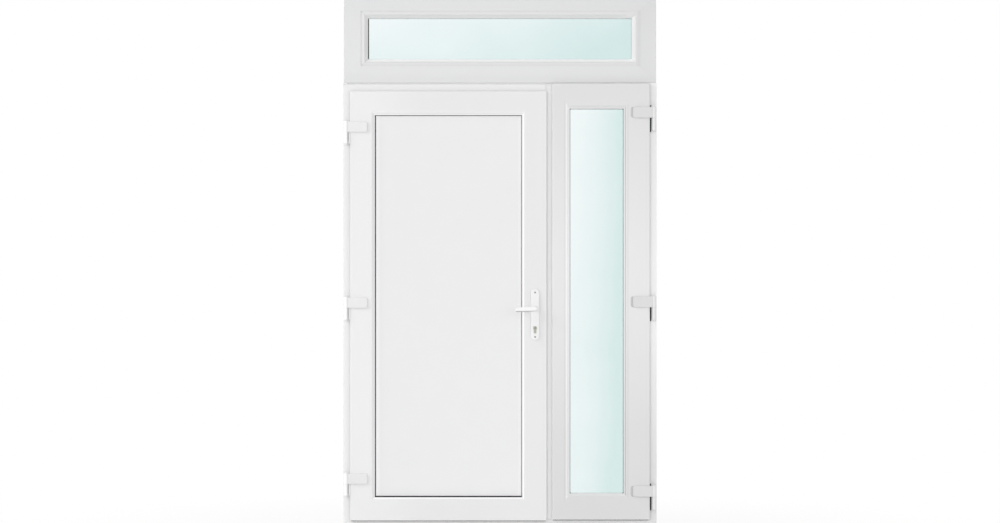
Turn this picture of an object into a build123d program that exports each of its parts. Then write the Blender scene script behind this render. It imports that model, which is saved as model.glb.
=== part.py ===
from build123d import *
from math import cos, radians, sin
import os

os.makedirs("parts", exist_ok=True)

# Entrance door: a solid main leaf, a narrower glazed side leaf and a fixed light above, all in PVC-u.
# Millimetres. X runs along the door, Y into the building and Z up. The leaves open towards -Y.
# The origin is the middle of the frame's underside.

# Door frame. A bar is a web with a lip behind, and each leaf closes against the lips.
frame_width = 1500
frame_depth = 70
frame_height = 2120
web_width = 41
lip_width = 20
lip_depth = 15
frame_arris = 3
post_middle = 237
post_width = 42
side_head_web = 11
coupler_height = 6
coupler_recess = 7
coupler_end_block = 20

# Fixed light above the door frame
light_set_in = 3
light_height = 426
light_bar_face = 81
light_sight = 115
light_lip_depth = 13
light_bead_set_back = 3
light_bead_flat = 17
light_bead_bevel_depth = 18

# How far a leaf's front lip covers the frame's face, and how much less it covers under the side leaf
lip_cover = 8
side_foot_cover = 4

# Face widths of the leaves, from the leaf's edge to the panel or glass
main_face_left, main_face_right, main_face_top, main_face_bottom = 119, 119, 115, 114
side_face_left, side_face_right, side_face_top, side_face_bottom = 84, 126, 120, 126

# Leaf section: the front lip covers the frame's face, and the body behind it sits in the rebate
leaf_front = -55
leaf_back = 14
leaf_lip_back = -41
leaf_lip_width = 20
leaf_arris = 4
leaf_arris_angles = (0, 30, 60, 90)
bevel_width = 15
bevel_depth = 11
glazing_lip_back = -39
glazing_rebate = 18
bead_bevel = 10

# Panel, glass and what holds them
unit_thickness = 24
pane_thickness = 4
edge_play = 4
gasket_thickness = 3
gasket_in_rebate = 12
gasket_showing = 3
spacer_in_rebate = 11
spacer_showing = 1
mitre_gap = 0.4
inner_side_play = 1
seal_width = 8
seal_thickness = 0.8

# Hinges: a flag on the leaf turns on a pin that stands in a knuckle on the jamb
hinge_axis_inset = 12.4
hinge_axis_y = -60
barrel_radius = 9
barrel_chamfer = 1.5
knuckle_gap = 1
pin_radius = 4
pin_clearance = 0.1
pin_length = 36
flag_thickness = 10
flag_corner = 10
flag_arris = 2
knuckle_leg_width = 10
knuckle_plate_inset = 2
knuckle_plate_width = 24
knuckle_plate_thickness = 4
main_flag_reach, main_flag_height, main_knuckle_height = 83, 50, 56
side_flag_reach, side_flag_height, side_knuckle_height = 81, 52, 62
# From the leaf's foot and head to the foot of its lowest and highest flag
main_hinge_foot, main_hinge_head = 176, 196
side_hinge_foot, side_hinge_head = 111, 164

# Lever handle and lock
handle_inset = 56
spindle_z = 1046
cylinder_below_spindle = 92
backplate_middle_below_spindle = 27.5
backplate_width = 40
backplate_height = 245
backplate_corner = 19
backplate_thickness = 9
backplate_arris = 3
neck_radius = 9.2
neck_clearance = 0.3
lever_reach = 96
lever_hub_radius = 10.5
lever_tip_radius = 7.5
lever_thickness = 14
lever_stand_off = 49
lever_arris = 4
spindle_side = 8
socket_clearance = 0.1
spindle_hole_radius = 11
cylinder_radius = 8.5
cylinder_tab_width = 10
cylinder_tab_drop = 24.5
cylinder_proud = 2.5
cylinder_clearance = 0.5

# Lock plate on the leaf's edge, strike plates on the post and bolt plates on the side leaf's edge
plate_width = 16
plate_thickness = 3
plate_y = -14
lock_plate_foot, lock_plate_head = 217, 237
hook_strike_inset, hook_strike_height = 130, 100
latch_strike_below, latch_strike_height = 146, 220
bolt_plate_inset, bolt_plate_height = 53, 160

# Screw holes that fasten the jambs to the wall
fixing_foot, fixing_head, fixing_spread = 200, 220, 300
fixing_radius = 5
fixing_y = -10

# Places that follow from these sizes
front = -frame_depth / 2
back = frame_depth / 2
lip_front = back - lip_depth
half_width = frame_width / 2
lips = web_width + lip_width
post_left = post_middle - post_width / 2
post_right = post_middle + post_width / 2
light_bottom = frame_height + coupler_height
light_top = light_bottom + light_height
side_head_low = light_bottom - side_head_web
main_left = -half_width + web_width - lip_cover
main_right = post_left + lip_cover
main_bottom = web_width - lip_cover
main_top = frame_height - web_width + lip_cover
side_left = post_right - lip_cover
side_right = half_width - web_width + lip_cover
side_bottom = web_width - side_foot_cover
side_top = side_head_low + lip_cover
handle_x = main_right - handle_inset
cylinder_z = spindle_z - cylinder_below_spindle
lock_plate = (main_bottom + lock_plate_foot, main_top - lock_plate_head)
hook_strikes = (lock_plate[0] + hook_strike_inset, lock_plate[1] - hook_strike_inset - hook_strike_height)
latch_strike = spindle_z - latch_strike_below
strikes = [
    (hook_strikes[0], hook_strikes[0] + hook_strike_height),
    (latch_strike, latch_strike + latch_strike_height),
    (hook_strikes[1], hook_strikes[1] + hook_strike_height),
]
bolt_plates = [
    (side_bottom + bolt_plate_inset, side_bottom + bolt_plate_inset + bolt_plate_height),
    (side_top - bolt_plate_inset - bolt_plate_height, side_top - bolt_plate_inset),
]
plate_depths = (plate_y - plate_width / 2, plate_y + plate_width / 2)
fixing_middle = (fixing_foot + frame_height - fixing_head) / 2
fixing_heights = [
    fixing_foot, fixing_middle - fixing_spread, fixing_middle + fixing_spread, frame_height - fixing_head,
]


def save(part, name):
    part.label = name
    export_step(part, f"parts/{name}.step")


def block(x, y, z, mode=Mode.ADD):
    """A box in the current part between (low, high) pairs on each axis."""
    with Locations(((x[0] + x[1]) / 2, (y[0] + y[1]) / 2, (z[0] + z[1]) / 2)):
        Box(x[1] - x[0], y[1] - y[0], z[1] - z[0], mode=mode)


def across(y):
    """The upright plane at depth y, facing the front."""
    return Plane.XZ.offset(-y)


def inset(edges, left, right, top, bottom):
    """A rectangle (left, right, bottom, top) drawn in by a width on each side."""
    return (edges[0] + left, edges[1] - right, edges[2] + bottom, edges[3] - top)


def window(edges, grow=0):
    """A rectangle sketch (left, right, bottom, top) grown evenly by a width."""
    width = edges[1] - edges[0] + 2 * grow
    height = edges[3] - edges[2] + 2 * grow
    with Locations(((edges[0] + edges[1]) / 2, (edges[2] + edges[3]) / 2)):
        Rectangle(width, height)


def ring(outer, inner, y_front, y_back):
    """A flat rectangular ring between two rectangles and two depths."""
    with BuildPart() as flat_ring:
        with BuildSketch(across(y_back)):
            window(outer)
            with Locations(((inner[0] + inner[1]) / 2, (inner[2] + inner[3]) / 2)):
                Rectangle(inner[1] - inner[0], inner[3] - inner[2], mode=Mode.SUBTRACT)
        extrude(amount=y_back - y_front)
    return flat_ring.part


def grown(edges, width):
    """A rectangle (left, right, bottom, top) let out by one width all round."""
    return inset(edges, -width, -width, -width, -width)


def mitred(whole, outer, inner, gap=0):
    """The left, top, right and bottom bars of a ring, cut along the lines from outer to inner corners."""
    clockwise = ((0, 2), (0, 3), (1, 3), (1, 2))
    corners = [(Vector(outer[i], 0, outer[j]), Vector(inner[i], 0, inner[j])) for i, j in clockwise]
    bars = []
    for (start, start_inner), (end, end_inner) in zip(corners, corners[1:] + corners[:1]):
        start_cut = Plane(origin=start, z_dir=(start_inner - start).cross(Vector(0, 1, 0)))
        end_cut = Plane(origin=end, z_dir=(end_inner - end).cross(Vector(0, 1, 0)))
        inner_side = Plane(origin=start_inner, z_dir=(end_inner - start_inner).cross(Vector(0, 1, 0)))
        with BuildPart() as bar:
            add(whole)
            split(bisect_by=inner_side.offset(-inner_side_play), keep=Keep.TOP)
            split(bisect_by=start_cut.offset(gap / 2), keep=Keep.TOP)
            split(bisect_by=end_cut.offset(-gap / 2), keep=Keep.BOTTOM)
        bars.append(bar.part)
    return bars


def frame_bar(start, along, inward, length, mitre_start, mitre_end):
    """A frame bar: the web and its lip drawn along a line, cut at 45 degrees where it is mitred."""
    section = [
        (0, front), (web_width, front), (web_width, lip_front),
        (lips, lip_front), (lips, back), (0, back),
    ]
    along, inward, start = Vector(*along), Vector(*inward), Vector(*start)
    with BuildPart() as bar:
        with BuildSketch(Plane(origin=start, x_dir=inward, z_dir=along)):
            with BuildLine():
                Polyline(*section, close=True)
            face = make_face()
            fillet(face.vertices().group_by(Axis.Y)[0], frame_arris)
        extrude(amount=length)
        if mitre_start:
            split(bisect_by=Plane(origin=start, z_dir=along - inward), keep=Keep.TOP)
        if mitre_end:
            end = start + along * length
            split(bisect_by=Plane(origin=end, z_dir=-along - inward), keep=Keep.TOP)
    return bar.part


def joined(parts):
    """Separate solids of one kind, kept together."""
    with BuildPart() as group:
        for part in parts:
            add(part)
    return group.part


# Jambs, with the holes for the screws into the wall
with BuildPart() as left_jamb:
    add(frame_bar((-half_width, 0, 0), (0, 0, 1), (1, 0, 0), frame_height, True, True))
    for height in fixing_heights:
        with Locations(Location((-half_width + web_width / 2, fixing_y, height), (0, 90, 0))):
            Cylinder(fixing_radius, web_width, mode=Mode.SUBTRACT)
save(left_jamb.part, "left_jamb")

with BuildPart() as right_jamb:
    add(frame_bar((half_width, 0, light_bottom), (0, 0, -1), (-1, 0, 0), light_bottom, False, True))
    for height in fixing_heights:
        with Locations(Location((half_width - web_width / 2, fixing_y, height), (0, 90, 0))):
            Cylinder(fixing_radius, web_width, mode=Mode.SUBTRACT)
save(right_jamb.part, "right_jamb")

with BuildPart() as sill_rail:
    add(frame_bar((half_width, 0, 0), (-1, 0, 0), (0, 0, 1), frame_width, True, True))
save(sill_rail.part, "sill_rail")

# Head over the main leaf, from the left jamb to the post
with BuildPart() as main_head:
    add(frame_bar((-half_width, 0, frame_height), (1, 0, 0), (0, 0, -1), half_width + post_left, True, False))
    block(
        (post_left - lip_width, post_left), (lip_front, back),
        (frame_height - lips, frame_height), mode=Mode.SUBTRACT,
    )
save(main_head.part, "main_head")

# Slim head over the taller side leaf, from the post to the right jamb
with BuildPart() as side_head:
    block((post_right, half_width - web_width), (front, lip_front), (side_head_low, light_bottom))
    block(
        (post_right + lip_width, half_width - lips), (lip_front, back),
        (side_head_low - lip_width, light_bottom),
    )
save(side_head.part, "side_head")

# Post between the leaves, with a lip behind each of them, let into the sill's lip
with BuildPart() as centre_post:
    block((post_left, post_right), (front, back), (web_width, frame_height))
    fillet(centre_post.faces().sort_by(Axis.Y)[0].edges().filter_by(Axis.Z), frame_arris)
    block((post_left - lip_width, post_right + lip_width), (lip_front, back), (lips, frame_height))
    block((post_left, post_right), (lip_front, back), (web_width, lips), mode=Mode.SUBTRACT)
    for low, high in strikes:
        block((post_left, post_left + plate_thickness), plate_depths, (low, high), mode=Mode.SUBTRACT)
save(centre_post.part, "centre_post")

with BuildPart() as strike_plates:
    for low, high in strikes:
        block((post_left, post_left + plate_thickness), plate_depths, (low, high))
save(strike_plates.part, "strike_plates")

# Coupling joint between the door frame and the light, set back except at its outer end
with BuildPart() as head_coupler:
    block(
        (-half_width + coupler_end_block, post_right), (front + coupler_recess, back - coupler_recess),
        (frame_height, light_bottom),
    )
    block(
        (-half_width, -half_width + coupler_end_block), (front, back), (frame_height, light_bottom),
    )
save(head_coupler.part, "head_coupler")

# Seal strips on the lips that the leaves close against
main_lip_edges = (-half_width + lips, post_left - lip_width, lips, frame_height - lips)
side_lip_edges = (post_right + lip_width, half_width - lips, lips, side_head_low - lip_width)
save(
    joined(
        ring(grown(edges, seal_width), edges, lip_front - seal_thickness, lip_front)
        for edges in (main_lip_edges, side_lip_edges)
    ),
    "rebate_seals",
)


def glass_unit(sight, y_front):
    """Two panes, y_front being the outside face of the front one."""
    y_back = y_front + unit_thickness
    hole = grown(sight, glazing_rebate - edge_play)
    with BuildPart() as unit:
        for low in (y_front, y_back - pane_thickness):
            block((hole[0], hole[1]), (low, low + pane_thickness), (hole[2], hole[3]))
    return unit.part


def spacer_bar(sight, y_front):
    """The bar that keeps the panes apart, just showing inside the sight line."""
    return ring(
        grown(sight, spacer_in_rebate), grown(sight, -spacer_showing),
        y_front + pane_thickness, y_front + unit_thickness - pane_thickness,
    )


def gaskets(sight, y_front):
    """The two rubber rings that hold a panel or glass unit, before and behind it."""
    y_back = y_front + unit_thickness
    wide, narrow = grown(sight, gasket_in_rebate), grown(sight, -gasket_showing)
    return joined(
        [
            ring(wide, narrow, y_front - gasket_thickness, y_front),
            ring(wide, narrow, y_back, y_back + gasket_thickness),
        ]
    )


# Fixed light: four mitred bars, glass set from the front and held by four beads
light_outer = (-half_width + light_set_in, half_width - light_set_in, light_bottom, light_top)
light_opening = inset(light_outer, *[light_bar_face] * 4)
light_edges = inset(light_outer, *[light_sight] * 4)
light_lip_front = back - light_lip_depth
light_glass_front = light_lip_front - gasket_thickness - unit_thickness
light_bead_back = light_glass_front - gasket_thickness
light_bead_front = front + light_bead_set_back

with BuildPart() as light_frame:
    with BuildSketch(across(back)):
        window(light_outer)
    extrude(amount=frame_depth)
    fillet(light_frame.faces().sort_by(Axis.Y)[0].edges(), frame_arris)
    with BuildSketch(across(light_lip_front)):
        window(light_opening)
    extrude(amount=light_lip_front - front, mode=Mode.SUBTRACT)
    with BuildSketch(across(back)):
        window(light_edges)
    extrude(amount=light_lip_depth, mode=Mode.SUBTRACT)

light_names = ["transom_left_jamb", "transom_top_rail", "transom_right_jamb", "transom_bottom_rail"]
for name, bar in zip(light_names, mitred(light_frame.part, light_outer, light_edges)):
    save(bar, name)

with BuildPart() as light_bead_ring:
    add(ring(light_opening, light_edges, light_bead_front, light_bead_back))
    with BuildSketch(across(light_bead_front)):
        window(inset(light_opening, *[light_bead_flat] * 4))
    with BuildSketch(across(light_bead_front + light_bead_bevel_depth)):
        window(light_edges)
    loft(mode=Mode.SUBTRACT)
save(joined(mitred(light_bead_ring.part, light_outer, light_edges, mitre_gap)), "transom_beads")

save(glass_unit(light_edges, light_glass_front), "transom_glass")
save(spacer_bar(light_edges, light_glass_front), "transom_spacer")
save(gaskets(light_edges, light_glass_front), "transom_gasket")


def leaf_ring(outer, sight):
    """A leaf's frame in one: its front lip, its body, the bevel round the sight line and the rebate."""
    with BuildPart() as leaf:
        for angle in leaf_arris_angles:
            with BuildSketch(across(leaf_front + leaf_arris * (1 - cos(radians(angle))))):
                window(outer, -leaf_arris * (1 - sin(radians(angle))))
        loft(ruled=True)
        with BuildSketch(across(leaf_lip_back)):
            window(outer)
        extrude(amount=leaf_lip_back - leaf_front - leaf_arris)
        with BuildSketch(across(leaf_back)):
            window(outer, -leaf_lip_width)
        extrude(amount=leaf_back - leaf_lip_back)
        with BuildSketch(across(leaf_back)):
            window(sight, glazing_rebate)
        extrude(amount=leaf_back - glazing_lip_back, mode=Mode.SUBTRACT)
        with BuildSketch(across(glazing_lip_back)):
            window(sight)
        extrude(amount=glazing_lip_back - leaf_front, mode=Mode.SUBTRACT)
        with BuildSketch(across(leaf_front)):
            window(sight, bevel_width)
        with BuildSketch(across(leaf_front + bevel_depth)):
            window(sight)
        loft(mode=Mode.SUBTRACT)
    return leaf.part


def leaf_beads(outer, sight):
    """The four beads that hold the panel or glass from inside, bevelled towards it."""
    with BuildPart() as beads:
        add(ring(grown(sight, glazing_rebate), sight, unit_back + gasket_thickness, leaf_back))
        with BuildSketch(across(leaf_back)):
            window(sight, bead_bevel)
        with BuildSketch(across(leaf_back - bead_bevel)):
            window(sight)
        loft(mode=Mode.SUBTRACT)
    return joined(mitred(beads.part, outer, sight, mitre_gap))


unit_front = glazing_lip_back + gasket_thickness
unit_back = unit_front + unit_thickness
inside_face = leaf_back + backplate_thickness
outside_face = leaf_front - backplate_thickness

# Main leaf
main_outer = (main_left, main_right, main_bottom, main_top)
main_sight = inset(main_outer, main_face_left, main_face_right, main_face_top, main_face_bottom)
main_bars = mitred(leaf_ring(main_outer, main_sight), main_outer, main_sight)
save(main_bars[0], "main_hinge_stile")
save(main_bars[1], "main_top_rail")
save(main_bars[3], "main_bottom_rail")


def cylinder_profile(clearance):
    """The keyhole outline of the lock cylinder: a round barrel with a tab below it."""
    with Locations((handle_x, cylinder_z)):
        Circle(cylinder_radius + clearance)
    drop = cylinder_tab_drop + clearance
    with Locations((handle_x, cylinder_z - drop / 2)):
        Rectangle(cylinder_tab_width + 2 * clearance, drop)


lock_edge = main_right - leaf_lip_width

# Lock stile, with holes for the spindle and the lock cylinder and a groove for the lock plate
with BuildPart() as main_lock_stile:
    add(main_bars[2])
    with BuildSketch(across(leaf_back)):
        cylinder_profile(cylinder_clearance)
        with Locations((handle_x, spindle_z)):
            Circle(spindle_hole_radius)
    extrude(amount=leaf_back - leaf_front, mode=Mode.SUBTRACT)
    block(
        (lock_edge - plate_thickness, lock_edge), plate_depths,
        lock_plate, mode=Mode.SUBTRACT,
    )
save(main_lock_stile.part, "main_lock_stile")

with BuildPart() as lock_faceplate:
    block((lock_edge - plate_thickness, lock_edge), plate_depths, lock_plate)
save(lock_faceplate.part, "lock_faceplate")

with BuildPart() as main_panel:
    hole = grown(main_sight, glazing_rebate - edge_play)
    block((hole[0], hole[1]), (unit_front, unit_back), (hole[2], hole[3]))
save(main_panel.part, "main_panel")
save(leaf_beads(main_outer, main_sight), "main_beads")
save(gaskets(main_sight, unit_front), "main_gasket")

# Handle: a backplate each side, and two levers on one square spindle
for name, foot, outward in (("outside_backplate", leaf_front, 1), ("inside_backplate", leaf_back, -1)):
    with BuildPart() as backplate:
        with BuildSketch(across(foot)):
            with Locations((handle_x, spindle_z - backplate_middle_below_spindle)):
                RectangleRounded(backplate_width, backplate_height, backplate_corner)
        extrude(amount=outward * backplate_thickness)
        fillet(backplate.faces().sort_by(Axis.Y, reverse=outward < 0)[0].edges(), backplate_arris)
        with BuildSketch(across(foot)):
            with Locations((handle_x, spindle_z)):
                Circle(neck_radius + neck_clearance)
        extrude(amount=outward * backplate_thickness, mode=Mode.SUBTRACT)
        with BuildSketch(across(foot)):
            cylinder_profile(cylinder_clearance)
        extrude(amount=outward * backplate_thickness, mode=Mode.SUBTRACT)
    save(backplate.part, name)

with BuildPart() as lock_cylinder:
    with BuildSketch(across(inside_face + cylinder_proud)):
        cylinder_profile(0)
    extrude(amount=inside_face - outside_face + 2 * cylinder_proud)
save(lock_cylinder.part, "lock_cylinder")

spindle_reach = lever_stand_off - lever_arris
for name, foot, outward in (("outside_lever", leaf_front, 1), ("inside_lever", leaf_back, -1)):
    rear = foot - outward * lever_stand_off
    with BuildPart() as lever:
        with BuildSketch(across(rear)):
            with Locations((handle_x, spindle_z)):
                Circle(lever_hub_radius)
            with Locations((handle_x - lever_reach + lever_tip_radius, spindle_z)):
                Circle(lever_tip_radius)
            make_hull()
        extrude(amount=outward * lever_thickness)
        fillet(lever.faces().filter_by(Axis.Y).edges(), lever_arris)
        with BuildSketch(across(foot - outward)):
            with Locations((handle_x, spindle_z)):
                Circle(neck_radius)
        extrude(amount=outward * lever_stand_off)
        with BuildSketch(across(foot - outward)):
            with Locations((handle_x, spindle_z)):
                Rectangle(spindle_side + socket_clearance, spindle_side + socket_clearance)
        extrude(amount=outward * spindle_reach, mode=Mode.SUBTRACT)
    save(lever.part, name)

with BuildPart() as spindle:
    block(
        (handle_x - spindle_side / 2, handle_x + spindle_side / 2),
        (leaf_front - spindle_reach, leaf_back + spindle_reach),
        (spindle_z - spindle_side / 2, spindle_z + spindle_side / 2),
    )
save(spindle.part, "spindle")

# Side leaf
side_outer = (side_left, side_right, side_bottom, side_top)
side_sight = inset(side_outer, side_face_left, side_face_right, side_face_top, side_face_bottom)
side_bars = mitred(leaf_ring(side_outer, side_sight), side_outer, side_sight)
save(side_bars[1], "side_top_rail")
save(side_bars[2], "side_hinge_stile")
save(side_bars[3], "side_bottom_rail")

bolt_edge = side_left + leaf_lip_width
with BuildPart() as side_meeting_stile:
    add(side_bars[0])
    for heights in bolt_plates:
        block((bolt_edge, bolt_edge + plate_thickness), plate_depths, heights, mode=Mode.SUBTRACT)
save(side_meeting_stile.part, "side_meeting_stile")

with BuildPart() as side_edge_bolts:
    for heights in bolt_plates:
        block((bolt_edge, bolt_edge + plate_thickness), plate_depths, heights)
save(side_edge_bolts.part, "side_edge_bolts")

save(glass_unit(side_sight, unit_front), "side_glass")
save(spacer_bar(side_sight, unit_front), "side_spacer")
save(leaf_beads(side_outer, side_sight), "side_beads")
save(gaskets(side_sight, unit_front), "side_gasket")


def hinge_flag(side, leaf_edge, reach, foot, height):
    """The leaf's half of a hinge: a barrel with a flat flag, side being -1 on the left and 1 on the right."""
    axis_x = side * (half_width - hinge_axis_inset)
    flag_end = leaf_edge - side * reach
    with BuildPart() as flag:
        with BuildSketch(across(leaf_front)):
            with Locations(((axis_x + flag_end) / 2, foot + height / 2)):
                plate = Rectangle(abs(axis_x - flag_end), height)
            by_x = plate.vertices().sort_by(Axis.X)
            fillet(by_x[2:] if side < 0 else by_x[:2], flag_corner)
        extrude(amount=flag_thickness)
        fillet(flag.faces().sort_by(Axis.Y)[0].edges(), flag_arris)
        with BuildSketch(Plane.XY.offset(foot)):
            with Locations((axis_x, hinge_axis_y)):
                Circle(barrel_radius)
        extrude(amount=height)
        with BuildSketch(Plane.XY.offset(foot)):
            with Locations((axis_x, hinge_axis_y)):
                Circle(pin_radius + pin_clearance)
        extrude(amount=pin_length, mode=Mode.SUBTRACT)
    return flag.part


def hinge_knuckle(side, top, height):
    """The frame's half of a hinge: a barrel on a leg and plate, with the pin standing in it."""
    axis_x = side * (half_width - hinge_axis_inset)
    plate_edges = [side * (half_width - knuckle_plate_inset - width) for width in (0, knuckle_plate_width)]
    heights = (top - height + barrel_chamfer, top)
    with BuildPart() as knuckle:
        with BuildSketch(Plane.XY.offset(top - height)):
            with Locations((axis_x, hinge_axis_y)):
                Circle(barrel_radius)
        extrude(amount=height)
        chamfer(knuckle.faces().sort_by(Axis.Z)[0].edges(), barrel_chamfer)
        block(
            (axis_x - knuckle_leg_width / 2, axis_x + knuckle_leg_width / 2),
            (hinge_axis_y, front), heights,
        )
        block(sorted(plate_edges), (front - knuckle_plate_thickness, front), heights)
        with BuildSketch(Plane.XY.offset(top)):
            with Locations((axis_x, hinge_axis_y)):
                Circle(pin_radius)
        extrude(amount=pin_length)
    return knuckle.part


def hang(leaf, side, leaf_edge, lowest, highest, reach, flag_height, knuckle_height):
    """The three hinges of a leaf, at its foot, its head and halfway between."""
    feet = (lowest, (lowest + highest) / 2, highest)
    flags = [hinge_flag(side, leaf_edge, reach, foot, flag_height) for foot in feet]
    knuckles = [hinge_knuckle(side, foot - knuckle_gap, knuckle_height) for foot in feet]
    save(joined(flags), f"{leaf}_hinge_flags")
    save(joined(knuckles), f"{leaf}_hinge_knuckles")


hang(
    "main", -1, main_left, main_bottom + main_hinge_foot, main_top - main_hinge_head,
    main_flag_reach, main_flag_height, main_knuckle_height,
)
hang(
    "side", 1, side_right, side_bottom + side_hinge_foot, side_top - side_hinge_head,
    side_flag_reach, side_flag_height, side_knuckle_height,
)
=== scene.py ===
"""Entrance door with a solid main leaf, a glazed side leaf and a fixed light above: its finishes and small
parts. Metres. X runs along the door, Y into the building and Z up. The origin is the middle of the frame's
underside."""

import bpy
import numpy as np
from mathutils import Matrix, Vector


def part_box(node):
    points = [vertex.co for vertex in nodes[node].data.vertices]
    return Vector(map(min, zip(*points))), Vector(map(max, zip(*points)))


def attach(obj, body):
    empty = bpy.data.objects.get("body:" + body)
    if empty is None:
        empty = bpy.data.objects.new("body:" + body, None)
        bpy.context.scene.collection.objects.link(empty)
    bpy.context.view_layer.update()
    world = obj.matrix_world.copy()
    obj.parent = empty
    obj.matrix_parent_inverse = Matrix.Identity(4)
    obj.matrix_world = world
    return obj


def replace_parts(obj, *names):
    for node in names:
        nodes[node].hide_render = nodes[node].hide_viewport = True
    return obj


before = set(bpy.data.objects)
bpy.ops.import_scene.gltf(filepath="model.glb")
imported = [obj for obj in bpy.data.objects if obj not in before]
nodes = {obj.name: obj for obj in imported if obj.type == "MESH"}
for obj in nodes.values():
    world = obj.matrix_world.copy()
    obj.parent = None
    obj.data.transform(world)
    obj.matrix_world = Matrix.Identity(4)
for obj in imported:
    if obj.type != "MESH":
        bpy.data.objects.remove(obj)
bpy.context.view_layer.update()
scene = bpy.context.scene


# The viewpoint. The photograph looks square on at the outside from far away, so one picture element is
# 4.78 mm on the face of the leaves. It cuts off the frame's foot below and the light's head above.
photo_width = 1000
photo_height = 523
picture_element = 0.00478
middle_column = 499.95
ground_row = 527.6
leaf_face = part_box("main_hinge_stile")[0].y
eye_distance = 16.0
eye = bpy.data.cameras.new("eye")
eye.sensor_width = 36
eye.lens = eye.sensor_width * (eye_distance + leaf_face) / (picture_element * photo_width)
eye.clip_end = 200
viewpoint = bpy.data.objects.new("eye", eye)
viewpoint.location = (
    (photo_width / 2 - middle_column) * picture_element,
    -eye_distance,
    (ground_row - photo_height / 2) * picture_element,
)
viewpoint.rotation_euler = (np.radians(90), 0, 0)
scene.collection.objects.link(viewpoint)
scene.camera = viewpoint


# The room around it: a white surround that glass and metal show too, a pale floor that keeps the shadow near
# the door and fades to white, a large lamp in front, a smaller one high on the left that grazes the door,
# and weak ones for the right and the inside.
def set_inputs(tree, node, inputs):
    """Gives a node's inputs their values, or a link where the value is another node's output."""
    for name, value in inputs.items():
        if isinstance(value, bpy.types.NodeSocket):
            tree.links.new(value, node.inputs[name])
        else:
            node.inputs[name].default_value = value


def add_node(tree, kind, inputs, **settings):
    """A new shader node with its settings and its inputs."""
    node = tree.nodes.new(f"ShaderNode{kind}")
    for name, value in settings.items():
        setattr(node, name, value)
    set_inputs(tree, node, inputs)
    return node


def maths(tree, operation, *values):
    """The result of one operation on numbers or other nodes' outputs."""
    return add_node(tree, "Math", dict(enumerate(values)), operation=operation).outputs[0]


def seen_as_white(tree):
    """One where a camera, transmission or glossy ray arrives, and nought for rays that light the door."""
    ray = add_node(tree, "LightPath", {}).outputs
    seen = maths(tree, "MAXIMUM", ray["Is Camera Ray"], ray["Is Transmission Ray"])
    return maths(tree, "MAXIMUM", seen, ray["Is Glossy Ray"])


scene.view_settings.view_transform = "Standard"
surround_light = 0.62
surround = bpy.data.worlds.new("white surround")
surround.use_nodes = True
scene.world = surround
sky = surround.node_tree
level = add_node(sky, "MapRange", {"Value": seen_as_white(sky), "To Min": surround_light, "To Max": 1.0})
set_inputs(sky, sky.nodes["Background"], {"Strength": level.outputs[0], "Color": (1, 1, 1, 1)})

floor_reach = 4.0
floor_mesh = bpy.data.meshes.new("pale floor")
floor_mesh.from_pydata(
    [(-floor_reach, -floor_reach, 0), (floor_reach, -floor_reach, 0),
     (floor_reach, floor_reach, 0), (-floor_reach, floor_reach, 0)],
    [], [(0, 1, 2, 3)],
)
floor = bpy.data.objects.new("pale_floor", floor_mesh)
scene.collection.objects.link(floor)

floor_tone = 0.82
fade_from, fade_to = 0.5, 2.6
white_near_door, white_for_lighting = 0.86, 0.35
floor_paint = bpy.data.materials.new("pale floor")
floor_paint.use_nodes = True
tree = floor_paint.node_tree
tree.nodes.clear()
matt = add_node(tree, "BsdfDiffuse", {"Color": (floor_tone, floor_tone, floor_tone, 1)})
glow = add_node(tree, "Emission", {})
ground_point = add_node(tree, "TexCoord", {}).outputs["Object"]
away = add_node(tree, "VectorMath", {0: ground_point}, operation="LENGTH").outputs["Value"]
fade = add_node(
    tree, "MapRange",
    {"Value": away, "From Min": fade_from, "From Max": fade_to, "To Min": white_near_door, "To Max": 1.0},
    interpolation_type="SMOOTHSTEP",
)
white_share = maths(tree, "MULTIPLY", seen_as_white(tree), fade.outputs["Result"])
white_share = maths(tree, "MAXIMUM", white_share, white_for_lighting)
painted = add_node(tree, "MixShader", {0: white_share, 1: matt.outputs[0], 2: glow.outputs[0]})
add_node(tree, "OutputMaterial", {"Surface": painted.outputs[0]})
floor.data.materials.append(floor_paint)


def lamp(name, place, size, power, target=(0, 0, 1.3)):
    """A soft square lamp at a place, turned so that it faces a target. Glass and metal don't mirror it."""
    light = bpy.data.lights.new(name, "AREA")
    light.size = size
    light.energy = power
    carrier = bpy.data.objects.new(name, light)
    carrier.location = place
    carrier.rotation_euler = (Vector(target) - Vector(place)).to_track_quat("-Z", "Y").to_euler()
    carrier.visible_glossy = False
    carrier.visible_transmission = False
    scene.collection.objects.link(carrier)


lamp("front light", place=(-3.0, -11.0, 2.4), size=7.0, power=221)
lamp("window light", place=(-6.5, -3.4, 5.0), size=3.0, power=185)
lamp("right fill", place=(4.5, -5.0, 2.0), size=3.0, power=60)
lamp("inside light", place=(2.5, 5.0, 3.5), size=2.5, power=100)


# Door frame: white PVC-u bars with a satin skin, cut at 45 degrees and welded at three corners. The post and
# the slim head over the side leaf are butted. The plastic is extruded, so faint streaks run along each bar.
# Light and shade are painted into each bar's tone: its base tone, and stops of a place and a display tone
# from
# 0 to 255 over its length, lighter where light falls and darker where shade falls.
def linear(tone):
    """A display tone, one number or three, as a linear colour: the two-part sRGB curve of power 2.4."""
    share = np.broadcast_to(np.array(tone, float) / 255, 3)
    return (*np.where(share <= 0.04045, share / 12.92, ((share + 0.055) / 1.055) ** 2.4), 1.0)


def shaded(colour, factor):
    """A linear colour made lighter or darker by a factor, and no lighter than white."""
    return (*np.minimum(factor * np.array(colour[:3]), 1), 1)


def new_material(name):
    """A material, its tree, its main shader and the point on the piece in the piece's own coordinates."""
    material = bpy.data.materials.new(name)
    material.use_nodes = True
    tree = material.node_tree
    return material, tree, tree.nodes["Principled BSDF"], add_node(tree, "TexCoord", {}).outputs["Object"]


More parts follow.
